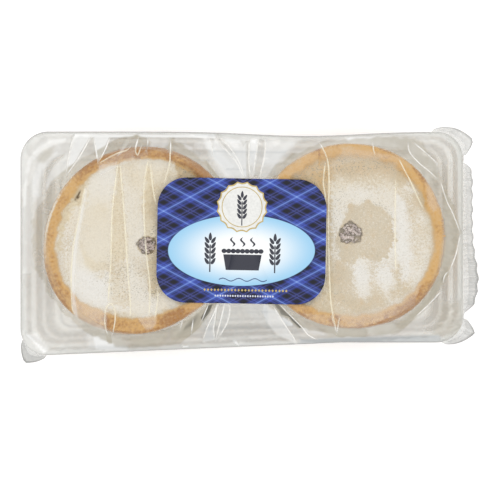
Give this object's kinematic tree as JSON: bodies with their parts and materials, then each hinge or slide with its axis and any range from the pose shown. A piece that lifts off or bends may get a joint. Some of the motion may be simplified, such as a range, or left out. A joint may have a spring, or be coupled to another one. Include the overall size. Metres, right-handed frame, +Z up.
{
  "type": "scotch pie twin pack",
  "caption": "Sealed clear pack of round savoury pies in a moulded tray, the film taut over their rims and gathered to a seal at one end, with a round-cornered label on top.",
  "frame": {"origin": "on the surface that the pack stands on, under the middle of its length and width", "axes": "+Z up, +X along the pack towards the gathered seal, +Y towards the back edge, the upper edge in the picture"},
  "size_m": [0.2345, 0.1211, 0.0398],
  "materials": {
    "film": "clear gloss",
    "tray": "clear gloss",
    "crust": "matte",
    "lid": "matte, floured",
    "filling": "moist",
    "label": "satin print"
  },
  "bodies": {
    "root": {"film_pack": "film", "label": "label"}
  },
  "joints": []
}
